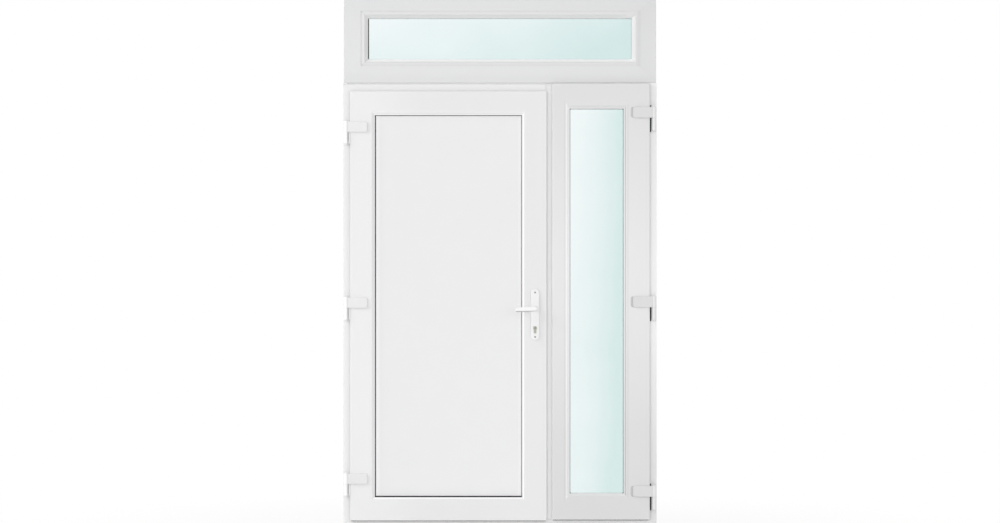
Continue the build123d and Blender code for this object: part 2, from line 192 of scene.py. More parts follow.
def ranged(tree, value, into, out_of=(0, 1)):
    """A value carried from one range into another and held at its ends."""
    ends = {"From Min": out_of[0], "From Max": out_of[1], "To Min": into[0], "To Max": into[1]}
    return add_node(tree, "MapRange", {"Value": value, **ends}).outputs["Result"]


def mixed(tree, share, none_of_it, all_of_it):
    """A colour between two, by a share."""
    blend = add_node(tree, "Mix", {"Factor": share, "A": none_of_it, "B": all_of_it}, data_type="RGBA")
    return blend.outputs["Result"]


def tinted(tree, colour, tint):
    """A colour multiplied by another."""
    return add_node(tree, "VectorMath", {0: colour, 1: tint}, operation="MULTIPLY").outputs["Vector"]


def relief(tree, height, strength, distance):
    """The normal of a surface that a pattern raises by up to a distance."""
    bump = add_node(tree, "Bump", {"Height": height, "Strength": strength, "Distance": distance})
    return bump.outputs["Normal"]


def tone_ramp(tree, coordinate, stops, tone):
    """A grey that follows a coordinate through stops of (place, display tone), over the base tone's grey."""
    first, last = stops[0][0], stops[-1][0]
    ramp = add_node(tree, "ValToRGB", {"Fac": ranged(tree, coordinate, (0, 1), (first, last))})
    while len(ramp.color_ramp.elements) < len(stops):
        ramp.color_ramp.elements.new(0.5)
    for stop, (place, value) in zip(ramp.color_ramp.elements, stops):
        stop.position = (place - first) / (last - first)
        grey = linear(value)[0] / linear(tone)[0]
        stop.color = (grey, grey, grey, 1)
    return ramp.outputs["Color"]


def tone_of_bar(tree, parts, ring, upright_tone, level_tone):
    """Of two tones, that of the bar that a point is on in a mitred ring of a given box. It is an upright bar
    where the box's side is nearer than its head or foot: half the width less |X - middle| is the lesser."""
    gaps = []
    for axis, low, high in (("X", ring[0].x, ring[1].x), ("Z", ring[0].z, ring[1].z)):
        from_middle = maths(tree, "ABSOLUTE", maths(tree, "SUBTRACT", parts[axis], (low + high) / 2))
        gaps.append(maths(tree, "SUBTRACT", (high - low) / 2, from_middle))
    return mixed(tree, maths(tree, "LESS_THAN", *gaps), level_tone, upright_tone)


def white_plastic(name, tone, roughness=0.34, streaks=(1, 1, 1), along=(), up=(), ring=None):
    """Satin PVC-u: two close whites mixed by slow noise, which also moves the roughness, and a fine grain as
    bump. Painted light and shade may lighten or darken the tone along X and up Z through stops, whose shares
    of the base tone are multiplied. On a mitred ring the stops along X are for its upright bars and those up
    Z for its level ones."""
    material, tree, shader, point = new_material(name)
    stretched = add_node(tree, "Mapping", {"Vector": point, "Scale": streaks}).outputs["Vector"]
    cloud = add_node(tree, "TexNoise", {"Vector": stretched, "Scale": 9, "Detail": 4}).outputs["Fac"]
    grain = add_node(tree, "TexNoise", {"Vector": point, "Scale": 700, "Detail": 2}).outputs["Fac"]
    colour = mixed(tree, cloud, shaded(linear(tone), 0.988), shaded(linear(tone), 1.012))
    parts = add_node(tree, "SeparateXYZ", {"Vector": point}).outputs
    ways = (("X", along), ("Z", up))
    painted_light_ramps = [tone_ramp(tree, parts[axis], stops, tone) for axis, stops in ways if stops]
    if ring:
        painted_light_ramps = [tone_of_bar(tree, parts, ring, *painted_light_ramps)]
    for painted_light_ramp in painted_light_ramps:
        colour = tinted(tree, colour, painted_light_ramp)
    set_inputs(tree, shader, {
        "Base Color": colour,
        "Roughness": ranged(tree, cloud, (roughness - 0.05, roughness + 0.05)),
        "IOR": 1.5,
        "Normal": relief(tree, grain, 0.06, 0.0004),
    })
    return material


def finish(names, material):
    """Gives CAD nodes one material in every slot."""
    for name in names:
        mesh = nodes[name].data
        mesh.materials.clear()
        mesh.materials.append(material)


upright = (1, 1, 0.12)
level_run = (0.12, 1, 1)
# Painted light and shade: the left jamb darkens upwards, the right jamb is darker towards its ends, and the
# post is lighter but for a painted shadow beside the main leaf's edge and painted shade at its head.
left_up = ((0.10, 238), (1.20, 237), (1.60, 235), (2.10, 233))
finish(["left_jamb"], white_plastic("left jamb plastic", 238, streaks=upright, up=left_up))
right_up = ((0.30, 230), (0.97, 247), (1.40, 245), (2.08, 239))
finish(["right_jamb"], white_plastic("right jamb plastic", 253, streaks=upright, up=right_up))
post_up = ((0.0, 250), (2.075, 250), (2.092, 235), (2.12, 233))
post_along = ((0.2255, 236), (0.2300, 246), (0.2345, 246), (0.2400, 250))
finish(["centre_post"], white_plastic("post plastic", 250, streaks=upright, along=post_along, up=post_up))
finish(["main_head"], white_plastic("head plastic", 232, streaks=level_run))
finish(["side_head", "head_coupler", "sill_rail"], white_plastic("sill plastic", 236, streaks=level_run))


def black_rubber(name, tone=34, gloss=0.5):
    """Matt rubber: one tone with slow noise in it and a fine bump."""
    material, tree, shader, point = new_material(name)
    noise = add_node(tree, "TexNoise", {"Vector": point, "Scale": 60}).outputs["Fac"]
    darker, lighter = linear((tone - 6, tone - 6, tone - 5)), linear((tone + 6, tone + 6, tone + 7))
    set_inputs(tree, shader, {
        "Base Color": mixed(tree, noise, darker, lighter),
        "Roughness": 0.62,
        "Specular IOR Level": gloss,
        "Normal": relief(tree, noise, 0.15, 0.0003),
    })
    return material


rubber = black_rubber("gasket rubber")
# The grey and pale rubbers are the black gasket drawn lighter where light falls on it: painted light. The
# grey also draws a painted shadow line on the side leaf.
grey_rubber = black_rubber("grey gasket rubber", 150)
painted_light_rubber = black_rubber("gasket rubber with painted light", 240)
finish(["rebate_seals"], rubber)


# Fixed light above the doors: the same bars with a bead of plastic outside, sloped towards the glass, two
# panes of pale aqua glass kept apart by a bar of mill aluminium, and rubber where bead and lip meet glass.
# Painted light and shade in the light's tones: its bars are greyer than the door's, darker at foot and head
# and towards the right, with a painted shade band on the right jamb beside the bead.
light_tone = (227, 227.4, 228)
light_along = ((-0.75, 223.5), (-0.3, 224.5), (0.2, 224.5), (0.60, 223), (0.75, 221.5))
jamb_along = (
    (-0.75, 223.5), (-0.65, 224), (0.650, 221), (0.6555, 216), (0.668, 215), (0.680, 220), (0.75, 221.5),
)
light_up = ((2.12, 221.5), (2.15, 222), (2.18, 225), (2.23, 225.5), (2.33, 225), (2.44, 223.5), (2.50, 222))
for bars, streaks, along in (
    (("left_jamb", "right_jamb"), upright, jamb_along),
    (("top_rail", "bottom_rail"), level_run, light_along),
):
    finish(
        [f"transom_{bar}" for bar in bars],
        white_plastic(f"light {bars[0]} plastic", light_tone, streaks=streaks, along=along, up=light_up),
    )
# Painted highlights on the bead's slopes at the right and at the foot, and painted shade along its outer
# edges and at its head.
bead_along = (
    (-0.652, 225), (-0.646, 229.5), (0.620, 229.5), (0.632, 240), (0.645, 240), (0.652, 217), (0.667, 214),
)
bead_up = (
    (2.2185, 219), (2.2255, 226), (2.2300, 246), (2.2400, 255), (2.433, 233), (2.450, 232), (2.456, 221),
)
bead_plastic = white_plastic(
    "light bead plastic", 250, roughness=0.3, along=bead_along, up=bead_up, ring=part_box("transom_beads"),
)
finish(["transom_beads"], bead_plastic)


def aqua_glass(name, edges, near_tone, far_tone, foot_share=0.3):
    """Clear float glass with an aqua tint. Painted shade deepens the tint along X, by the share of the way
    to a power, and downwards by up to a share at the foot; slow noise varies it. Shadow rays pass it and
    take on its tint."""
    left, right, bottom, top = edges
    material, tree, shader, point = new_material(name)
    parts = add_node(tree, "SeparateXYZ", {"Vector": point}).outputs
    along = maths(tree, "POWER", ranged(tree, parts["X"], (0, 1), (left, right)), 1.7)
    down = ranged(tree, parts["Z"], (0, foot_share), (top, bottom))
    cloud = add_node(tree, "TexNoise", {"Vector": point, "Scale": 3}).outputs["Fac"]
    # The share of the way from near to far tone: painted shade, with slow noise in it.
    depth = add_node(
        tree, "Math", {0: maths(tree, "ADD", along, down), 1: ranged(tree, cloud, (-0.25, 0.25))},
        operation="ADD", use_clamp=True,
    )
    tint = mixed(tree, depth.outputs[0], near_tone, far_tone)
    glass = {"Base Color": tint, "Roughness": 0.0, "Transmission Weight": 1.0, "IOR": 1.45}
    set_inputs(tree, shader, glass)
    shadow_ray = add_node(tree, "LightPath", {}).outputs["Is Shadow Ray"]
    clear = add_node(tree, "BsdfTransparent", {"Color": tint})
    either = add_node(tree, "MixShader", {0: shadow_ray, 1: shader.outputs[0], 2: clear.outputs[0]})
    set_inputs(tree, tree.nodes["Material Output"], {"Surface": either.outputs[0]})
    return material


unit_cover = 0.014


def sight_of(unit):
    """The opening (left, right, bottom, top) that shows a pane or panel: its box less the covered rim."""
    low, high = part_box(unit)
    return (low.x + unit_cover, high.x - unit_cover, low.z + unit_cover, high.z - unit_cover)


light_sight = sight_of("transom_glass")
light_pane = aqua_glass("light glass", light_sight, (0.935, 0.968, 0.972, 1), (0.805, 0.900, 0.893, 1))
finish(["transom_glass"], light_pane)


def matt_metal(name, colour, roughness, grain_scale=(1, 1, 1)):
    """Bare metal with a fine brushed grain: stretched noise moves its tone, roughness and a slight bump."""
    material, tree, shader, point = new_material(name)
    stretched = add_node(tree, "Mapping", {"Vector": point, "Scale": grain_scale}).outputs["Vector"]
    noise = add_node(tree, "TexNoise", {"Vector": stretched, "Scale": 400, "Detail": 3}).outputs["Fac"]
    set_inputs(tree, shader, {
        "Base Color": mixed(tree, noise, shaded(colour, 0.93), shaded(colour, 1.05)),
        "Metallic": 1.0,
        "Roughness": ranged(tree, noise, (roughness - 0.08, roughness + 0.08)),
        "Normal": relief(tree, noise, 0.1, 0.0002),
    })
    return material


spacer_metal = matt_metal("mill aluminium", (0.86, 0.87, 0.87), 0.38)
finish(["transom_spacer"], spacer_metal)


def grid_faces(rows, columns, joined_rows=False):
    """Quads between neighbours on a grid of points numbered row by row, each row a closed ring."""
    strips = rows if joined_rows else rows - 1
    row, column = np.meshgrid(np.arange(strips), np.arange(columns), indexing="ij")
    right, here, below = (column + 1) % columns, row * columns, (row + 1) % rows * columns
    return np.stack([here + column, here + right, below + right, below + column], -1).reshape(-1, 4).tolist()


def skin(rings, joined_rows=False):
    """A closed skin over rings of points: quads between neighbouring rings, and a face over each end unless
    the last ring joins the first. It is turned right side out by the sign of its volume, a sixth of the sum,
    over triangles fanned from each face's first corner, of the corners' triple product."""
    rows, columns = rings.shape[:2]
    points = rings.reshape(-1, 3)
    faces = grid_faces(rows, columns, joined_rows)
    if not joined_rows:
        faces += [list(range(columns))[::-1], list(range((rows - 1) * columns, rows * columns))]
    fans = [(f[0], f[i], f[i + 1]) for f in faces for i in range(1, len(f) - 1)]
    a, b, c = np.moveaxis(points[np.array(fans)] - points.mean(axis=0), 1, 0)
    volume = np.einsum("ij,ij->", a, np.cross(b, c))
    return points, faces if volume > 0 else [f[::-1] for f in faces]


def new_piece(name, skins, material, body, sharp=35):
    """One piece made of closed skins, smooth except where faces meet at more than an angle in degrees."""
    firsts = np.cumsum([0] + [len(points) for points, faces in skins])
    mesh = bpy.data.meshes.new(name)
    mesh.from_pydata(
        np.concatenate([points for points, faces in skins]).tolist(), [],
        [(np.array(f) + first).tolist() for (points, faces), first in zip(skins, firsts) for f in faces],
    )
    mesh.materials.append(material)
    mesh.shade_smooth()
    mesh.set_sharp_from_angle(angle=np.radians(sharp))
    piece = bpy.data.objects.new(name, mesh)
    scene.collection.objects.link(piece)
    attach(piece, body)
    return piece


def mitred_runs(sight, insets, depth):
    """Strips on the left, top, right and bottom of an opening: each is its profile of (inset, depth) carried
    along its side, with insets from the opening's edge. It ends where the insets of two neighbouring sides
    meet."""
    left, right, bottom, top = sight
    x_low, x_high = left + insets[0], right - insets[2]
    z_low, z_high = bottom + insets[3], top - insets[1]
    corners = [(x_low, z_low), (x_low, z_high), (x_high, z_high), (x_high, z_low)]
    rings = [np.stack([x, depth, z], -1) for x, z in corners]
    return [skin(np.stack([rings[side], rings[(side + 1) % 4]])) for side in range(4)]


def seats_of(gasket, unit):
    """The depths (lip, glass) of a gasket's front and back runs, which reach out past the unit's faces."""
    (front_lip, back_lip), (front_glass, back_glass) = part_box(gasket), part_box(unit)
    return (front_lip.y, front_glass.y), (back_lip.y, back_glass.y)


def gasket_runs(sight, shows, seat):
    """The four runs of a gasket. What shows of each is a bulge, with insets in shares of the width that
    shows and depths in shares of the way from lip to glass. The rest lies covered between the two."""
    lip_y, glass_y = seat
    covered = -0.010
    bulge = np.array([(0.0, -0.05), (0.25, -0.16), (0.55, -0.08), (0.8, 0.2), (0.95, 0.6), (1.0, 1.0)])
    share = np.concatenate([[1.0], [0.0], bulge[:, 1]])
    insets = [np.concatenate([[covered, covered], bulge[:, 0] * show]) for show in shows]
    return mitred_runs(sight, insets, lip_y + (glass_y - lip_y) * share)


def lay_gaskets(node, body, runs):
    """Pieces of a name, skins and a rubber each, which together take the place of a CAD gasket."""
    for name, skins, material in runs:
        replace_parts(new_piece(name, skins, material, body), node)


front_seat, back_seat = seats_of("transom_gasket", "transom_glass")
light_shows = (0.0036, 0.0008, 0.0022, 0.0008)
outer_runs = gasket_runs(light_sight, light_shows, front_seat)
inner_runs = gasket_runs(light_sight, light_shows, back_seat)
# One gasket, black on the left where shade falls and drawn lighter where light falls: pale at the head and
# right, grey at the foot and inside. These lighter runs are painted light.
lay_gaskets("transom_gasket", "frame", (
    ("light_gasket_left", outer_runs[:1], rubber),
    ("light_gasket_outer", outer_runs[1:3], painted_light_rubber),
    ("light_gasket_foot", outer_runs[3:], grey_rubber),
    ("light_gasket_inner", inner_runs, grey_rubber),
))


# Main leaf: a welded frame of wide bars round one flat white panel, which black rubber holds on both sides.
# The bars' front edges are rounded and slope down to the panel, and at its foot the gasket laps over them in
# a darker rubber: painted shade. Light and shade are painted into the tones as well: painted highlights
# along the slopes on the lock side, head and foot, a painted shade line at the head, the bars lighter
# towards the hinge side and darker upwards, and the panel painted lighter beside the gasket at its sides and
# darker upwards.
main_along = ((-0.60, 235.7), (-0.38, 231), (-0.10, 231), (0.10, 232))
main_up = ((0.06, 236), (0.35, 234.5), (1.2, 233), (2.1, 232.5))
lock_along = ((0.1085, 232), (0.1098, 255), (0.1148, 255), (0.1165, 232), (0.224, 232))
head_up = (
    (1.9705, 252), (1.9775, 252), (1.9785, 238), (1.9812, 238), (1.9826, 246), (1.9866, 246),
    (1.9885, 232.5),
)
foot_up = ((0.06, 236), (0.1355, 236), (0.1368, 252), (0.1414, 252), (0.1428, 236))
for bar, streaks, along, up in (
    ("hinge_stile", upright, main_along, main_up), ("lock_stile", upright, lock_along, main_up),
    ("top_rail", level_run, main_along, head_up), ("bottom_rail", level_run, main_along, foot_up),
):
    finish([f"main_{bar}"], white_plastic(f"main {bar} plastic", 236, streaks=streaks, along=along, up=up))
finish(["main_beads"], white_plastic("main leaf bead", 236, roughness=0.3))
panel_along = (
    (-0.594, 255), (-0.5885, 255), (-0.5825, 245), (-0.572, 234.5), (0.083, 236), (0.0935, 241),
    (0.102, 250),
)
panel_up = ((0.15, 236), (0.3, 234), (0.6, 232.5), (1.2, 231.5), (1.97, 231))
finish(["main_panel"], white_plastic("panel sheet", 236, roughness=0.3, along=panel_along, up=panel_up))

panel_sight = sight_of("main_panel")
front_seat, back_seat = seats_of("main_gasket", "main_panel")
# The foot run and its lap are a darker, duller rubber than the rest: painted shade along the panel's foot.
painted_shade_rubber = black_rubber("gasket rubber with painted shade", 14, gloss=0.1)
outer_runs = gasket_runs(panel_sight, (0.0048, 0.0028, 0.0026, 0.0034), front_seat)
inner_runs = gasket_runs(panel_sight, (0.003, 0.003, 0.003, 0.003), back_seat)
lap = np.array([(0.0, -0.0390), (0.0006, -0.0390), (0.0006, -0.0444), (-0.0016, -0.0461),
                (-0.0016, -0.0451), (0.0, -0.0440)])
foot_lap = mitred_runs(panel_sight, [lap[:, 0]] * 4, lap[:, 1])[3:]
lay_gaskets("main_gasket", "main_leaf", (
    ("main_gasket_outer", outer_runs[:3], rubber),
    ("main_gasket_outer_foot", outer_runs[3:] + foot_lap, painted_shade_rubber),
    ("main_gasket_inner", inner_runs, rubber),
))


# Side leaf: the same bars round a tall double-glazed unit, with rubber against the glass. Light and shade
# are painted into the bars' and bead's tones: darker towards the foot and head of the leaf, lighter at the
# edge by the main leaf and beside the glass's head, a painted highlight on the slope left of the glass, and
# painted shade bands just outside the slopes of both stiles. The rubber is drawn lighter where light falls,
# black pieces in the glass's corners are painted shade, and a grey strip down the slope of the hinge stile
# is a painted shadow line.
side_up = ((0.45, 220), (0.97, 228.5), (1.18, 230), (1.33, 230), (1.88, 223.5), (2.07, 222))
meeting_along = (
    (0.2438, 252), (0.2505, 249), (0.2530, 232), (0.3050, 232), (0.3065, 226), (0.3105, 226), (0.3118, 232),
    (0.3150, 234), (0.3165, 250), (0.3205, 253), (0.3300, 253), (0.3345, 246),
)
hinge_along = ((0.6065, 234), (0.6075, 227), (0.6155, 227), (0.6168, 233), (0.717, 232))
rail_along = ((0.24, 232), (0.717, 232))
rail_foot_up = ((0.13, 220), (0.1495, 221), (0.1545, 228), (0.167, 229))
rail_head_up = ((1.9985, 237), (2.012, 229), (2.018, 222.5), (2.07, 221.5))
for bar, streaks, along, up in (
    ("meeting_stile", upright, meeting_along, side_up), ("hinge_stile", upright, hinge_along, side_up),
    ("top_rail", level_run, rail_along, rail_head_up), ("bottom_rail", level_run, rail_along, rail_foot_up),
):
    finish([f"side_{bar}"], white_plastic(f"side {bar} plastic", 234, streaks=streaks, along=along, up=up))
finish(["side_beads"], white_plastic("side leaf bead", 231, roughness=0.3))
finish(["side_spacer"], spacer_metal)
glass_sight = sight_of("side_glass")
side_pane = aqua_glass(
    "side glass", glass_sight, (0.944, 0.970, 0.974, 1), (0.815, 0.905, 0.895, 1), foot_share=0.36,
)
finish(["side_glass"], side_pane)
front_seat, back_seat = seats_of("side_gasket", "side_glass")
outer_runs = gasket_runs(glass_sight, (0.0020, 0.0013, 0.0014, 0.0014), front_seat)
inner_runs = gasket_runs(glass_sight, (0.003, 0.0022, 0.0018, 0.0008), back_seat)
# Painted light: the gasket is drawn grey on its uprights and three inside runs, and pale on its level runs
# and the inside foot.
lay_gaskets("side_gasket", "side_leaf", (
    ("side_gasket_upright", outer_runs[::2], grey_rubber),
    ("side_gasket_level", outer_runs[1::2], painted_light_rubber),
    ("side_gasket_inner", inner_runs[:3], grey_rubber),
    ("side_gasket_inner_foot", inner_runs[3:], painted_light_rubber),
))


def rounded_slab(middle, half, back, front, corner, edge=0.0008, plane="xz"):
    """A flat plate: a rounded rectangle's outline, quarter circles of a corner radius joined by straight
    sides, carried from its back to its front and drawn in along the outline's normals by a quarter-round
    edge. The plane names the axes of its face, and depth goes along the third."""
    angle = np.linspace(0, np.pi / 2, 9)
    turn = (np.arange(4)[:, None] * np.pi / 2 + angle).ravel()
    normal = np.stack([np.cos(turn), np.sin(turn)], -1)
    quadrant = np.repeat(np.array([(1, 1), (-1, 1), (-1, -1), (1, -1)]), len(angle), axis=0)
    centres = quadrant * (np.array(half) - corner)
    out = np.sign(front - back)
    lift = np.linspace(0, np.pi / 2, 5)
    insets = np.concatenate([[0.0], edge * (1 - np.cos(lift))])
    depths = np.concatenate([[back], front - out * edge * (1 - np.sin(lift))])
    flat = np.array(middle) + centres + normal * (corner - insets[:, None, None])
    depth = np.broadcast_to(depths[:, None], flat.shape[:2])
    order = {"xz": (flat[..., 0], depth, flat[..., 1]), "yz": (depth, flat[..., 0], flat[..., 1])}[plane]
    return skin(np.stack(order, -1))


# Black pieces in the glass's corners, where the gasket's runs meet: painted shade.
corner_half, corner_proud = 0.0021, 0.0006
corner_back, corner_front = front_seat[1], front_seat[0] - corner_proud
left, right, bottom, top = glass_sight
corner_spots = [(x + sx * corner_half, z + sz * corner_half)
                for x, sx in ((left, 1), (right, -1)) for z, sz in ((bottom, 1), (top, -1))]
new_piece(
    "side_gasket_corners",
    [rounded_slab(spot, (corner_half, corner_half), corner_back, corner_front, corner=0.0008, edge=0.0003)
     for spot in corner_spots],
    rubber, "side_leaf",
)

# A grey strip laid down the slope of the hinge stile: a painted shadow line.
shadow_line_from_glass, shadow_line_overrun = 0.0092, 0.009
shadow_line_middle = (right + shadow_line_from_glass, (bottom + top) / 2)
shadow_line_half = (0.0008, (top - bottom) / 2 + shadow_line_overrun)
shadow_line_back, shadow_line_front = -0.0475, -0.0514
painted_shadow_line = rounded_slab(shadow_line_middle, shadow_line_half, shadow_line_back, shadow_line_front, corner=0.0006, edge=0.0004)
new_piece("side_bevel_painted_shadow_line", [painted_shadow_line], grey_rubber, "side_leaf")


# Drip seals: a soft black strip under the foot of each leaf that keeps wind and rain out; its black is also
# the painted shade of the gap under the leaf. It is extruded with bevelled corners and pressed into a groove
# behind the leaf's front face, a little short of its ends.
drip_profile = np.array([(-0.0502, 0.0004), (-0.0502, -0.0012), (-0.0496, -0.0019), (-0.0448, -0.0019),
                         (-0.0442, -0.0012), (-0.0442, 0.0004)])
drip_end_gap = 0.004
for leaf, left_bar, right_bar in (("main", "main_hinge_stile", "main_lock_stile"),
                                  ("side", "side_meeting_stile", "side_hinge_stile")):
    low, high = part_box(left_bar)[0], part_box(right_bar)[1]
    ends = [np.column_stack([np.full(len(drip_profile), x), drip_profile[:, 0], low.z + drip_profile[:, 1]])
            for x in (low.x + drip_end_gap, high.x - drip_end_gap)]
    new_piece(f"{leaf}_drip_seal", [skin(np.stack(ends))], rubber, f"{leaf}_leaf")


# Hinges: aluminium with a white powder coat, a flag on the leaf over a knuckle on the jamb. Covers clip
# round the barrels, caps close their ends, and a washer lies between flag and knuckle. Fillers close the
# slits beside the main leaf's hinges. Light and shade are painted into the coats and covers, lighter on the
# main leaf's hinges and greyer on the side leaf's; black pads in the side leaf's slits are painted shade,
# and grey sheets past the ends of its flags are painted shadows.
def white_coat(name, tone, roughness=0.3, up=()):
    """Powder coat: a plain white with a fine pebbled bump and a thin gloss coat. Painted shade may change
    its tone up Z.
    """
    material, tree, shader, point = new_material(name)
    pebble = add_node(tree, "TexVoronoi", {"Vector": point, "Scale": 900}).outputs["Distance"]
    cloud = add_node(tree, "TexNoise", {"Vector": point, "Scale": 30}).outputs["Fac"]
    colour = mixed(tree, cloud, shaded(linear(tone), 0.98), shaded(linear(tone), 1.01))
    if up:
        height = add_node(tree, "SeparateXYZ", {"Vector": point}).outputs["Z"]
        colour = tinted(tree, colour, tone_ramp(tree, height, up, tone))
    set_inputs(tree, shader, {
        "Base Color": colour,
        "Roughness": roughness,
        "Coat Weight": 0.2,
        "Coat Roughness": 0.15,
        "Normal": relief(tree, pebble, 0.08, 0.0003),
    })
    return material


# Painted light and shade: the same coat, lighter on the main leaf's hinges than on the side leaf's.
finish(["main_hinge_flags", "main_hinge_knuckles"], white_coat("main hinge coat", 230))
finish(["side_hinge_flags", "side_hinge_knuckles"], white_coat("side hinge coat", 217))
hinge_axis_x, hinge_axis_y = 0.7376, -0.060
barrel_radius = 0.009
cover_clearance, cover_wall, cover_bevel = 0.0001, 0.0007, 0.0004


def barrel_cover(axis_x, foot, head, wrap):
    """A cover clipped round a barrel: a thin wall's section with bevelled ends, carried along part of a
    circle from one angle to another, in degrees from the front towards the right."""
    angle = np.radians(np.linspace(*wrap, 33))[:, None]
    inner, outer, bevel = barrel_radius + cover_clearance, barrel_radius + cover_wall, cover_bevel
    radius = np.array([inner, outer - bevel, outer, outer, outer - bevel, inner])
    z = np.array([foot, foot, foot + bevel, head - bevel, head, head])
    x, y = axis_x + radius * np.sin(angle), hinge_axis_y - radius * np.cos(angle)
    return skin(np.stack([x, y, np.broadcast_to(z, x.shape)], -1))


ring_angles = np.linspace(0, 2 * np.pi, 48, endpoint=False)


def turned(place, facing, rings, joined_rows=False):
    """A body about an axis through a place: rings of (radius, height) whose points lie at the radius round
    the axis and at the height along it. A radius may be an array that changes with the angle."""
    axis = np.array(facing, float)
    side = np.cross(axis, (0, 0, 1)) if abs(axis[2]) < 0.5 else np.array((1.0, 0, 0))
    around = np.cos(ring_angles)[:, None] * side + np.sin(ring_angles)[:, None] * np.cross(side, axis)
    layers = [place + np.broadcast_to(radius, ring_angles.shape)[:, None] * around + height * axis
              for radius, height in rings]
    return skin(np.stack(layers), joined_rows)


def bar_outline(length, width):
    """Radius over angle of a rectangle: the nearer of its end, length / |cos|, and side, width / |sin|."""
    nearly_nought = 1e-6
    cos, sin = (np.maximum(abs(part(ring_angles)), nearly_nought) for part in (np.cos, np.sin))
    return np.minimum(length / cos, width / sin)


def cross_outline(length, width):
    """Radius over angle of a cross: the further of one bar and the same bar turned a quarter."""
    bar = bar_outline(length, width)
    return np.maximum(bar, np.roll(bar, len(bar) // 4))


def socket_outline(flats):
    """Radius over angle of a hexagon: half the width across its flats / the cosine from the nearest flat."""
    from_flat = (ring_angles + np.pi / 6) % (np.pi / 3) - np.pi / 6
    return flats / 2 / np.cos(from_flat)


def end_cap(axis_x, z, up):
    """A shallow domed cap over the end of a barrel, with a hexagon socket for the height screw in it."""
    radius = barrel_radius + cover_wall
    crown, rim, rise = 0.0045, 0.0005, 0.0024
    dome_turn = np.radians(62.609)
    dome = [(crown + (radius - crown) * np.cos(turn), rim + rise * np.sin(turn))
            for turn in np.linspace(0, dome_turn, 5)]
    socket, socket_floor = socket_outline(flats=0.004), 0.0006
    rings = [(radius, 0.0)] + dome + [(socket, dome[-1][1]), (socket * 0.98, socket_floor)]
    return turned((axis_x, hinge_axis_y, z), (0, 0, up), rings)


flag_height = {"main": 0.050, "side": 0.052}
knuckle_height = {"main": 0.056, "side": 0.062}
flag_wrap = {"main": (-175, 48), "side": (-48, 175)}
knuckle_wrap = (-140, 140)
flag_gap = 0.001
cap_collar = 0.0015
washer = [(0.0045, 0.00005), (0.0082, 0.00005), (0.0082, 0.00095), (0.0045, 0.00095)]
flag_feet = {}
# The covers' tones: a painted highlight on the main leaf's barrels, painted shade on the side leaf's.
for leaf, side, tone in (("main", -1, 253), ("side", 1, 228)):
    low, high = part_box(f"{leaf}_hinge_flags")
    axis_x = side * hinge_axis_x
    flag_feet[leaf] = np.linspace(low.z, high.z - flag_height[leaf], 3)
    flags = [(foot, foot + flag_height[leaf]) for foot in flag_feet[leaf]]
    knuckles = [(foot - flag_gap - knuckle_height[leaf], foot - flag_gap) for foot in flag_feet[leaf]]
    cover_white = white_coat(f"{leaf} cover white", tone, roughness=0.25)
    new_piece(
        f"{leaf}_flag_covers",
        [barrel_cover(axis_x, foot, head, flag_wrap[leaf]) for foot, head in flags]
        + [end_cap(axis_x, head, 1) for foot, head in flags],
        cover_white, f"{leaf}_leaf",
    )
    new_piece(
        f"{leaf}_knuckle_covers",
        [barrel_cover(axis_x, foot + cap_collar, head, knuckle_wrap) for foot, head in knuckles]
        + [end_cap(axis_x, foot, -1) for foot, head in knuckles],
        cover_white, "frame",
    )
    new_piece(
        f"{leaf}_hinge_washers",
        [turned((axis_x, hinge_axis_y, head), (0, 0, 1), washer, joined_rows=True)
         for foot, head in knuckles],
        cover_white, "frame",
    )

filler_x, filler_drop, filler_half = -0.7203, 0.0285, (0.0034, 0.0275)
filler_back, filler_front = -0.0445, -0.0538
new_piece(
    "main_slit_fillers",
    [rounded_slab((filler_x, foot - filler_drop), filler_half, filler_back, filler_front, corner=0.001)
     for foot in flag_feet["main"]],
    white_coat("filler white", 244, roughness=0.4), "main_leaf",
)
# Black pads in the slits beside the side leaf's hinges: painted shade.
slit_shade_x, slit_shade_half_width, slit_shade_below = 0.72075, 0.00325, 0.067
slit_shade_above = (0.061, 0.045, 0.061)
slit_shade_back, slit_shade_front = -0.035, -0.036
new_piece(
    "side_slit_painted_shade",
    [rounded_slab(
        (slit_shade_x, foot + (above - slit_shade_below) / 2), (slit_shade_half_width, (above + slit_shade_below) / 2),
        slit_shade_back, slit_shade_front, corner=0.001, edge=0.0003,
    ) for foot, above in zip(flag_feet["side"], slit_shade_above)],
    black_rubber("slit painted shade rubber", 30), "frame",
)
# Grey sheets under the side leaf's flags that show past their free ends: painted shadows.
flag_shadow_x, flag_shadow_half_width, flag_shadow_thickness = 0.6350, 0.0100, 0.0014
flag_shadow_middle, flag_shadow_short = flag_height["side"] / 2, 0.0005
new_piece(
    "side_flag_painted_shadows",
    [rounded_slab(
        (flag_shadow_x, foot + flag_shadow_middle), (flag_shadow_half_width, flag_shadow_middle - flag_shadow_short),
        leaf_face, leaf_face - flag_shadow_thickness, corner=0.0095,
    ) for foot in flag_feet["side"]],
    white_coat("painted shadow grey", 196, roughness=0.5), "side_leaf",
)


# Handle: white coated backplates, each with a moulded collar and two domed screws, and levers swept from
# one bar, a round neck that bends a quarter turn into a flattened grip, painted darker underneath as shade.
# The lock cylinder is of dulled nickel, with a turned plug.
handle_coat = white_coat("handle coat", 239, roughness=0.25)
finish(["outside_backplate", "inside_backplate"], handle_coat)
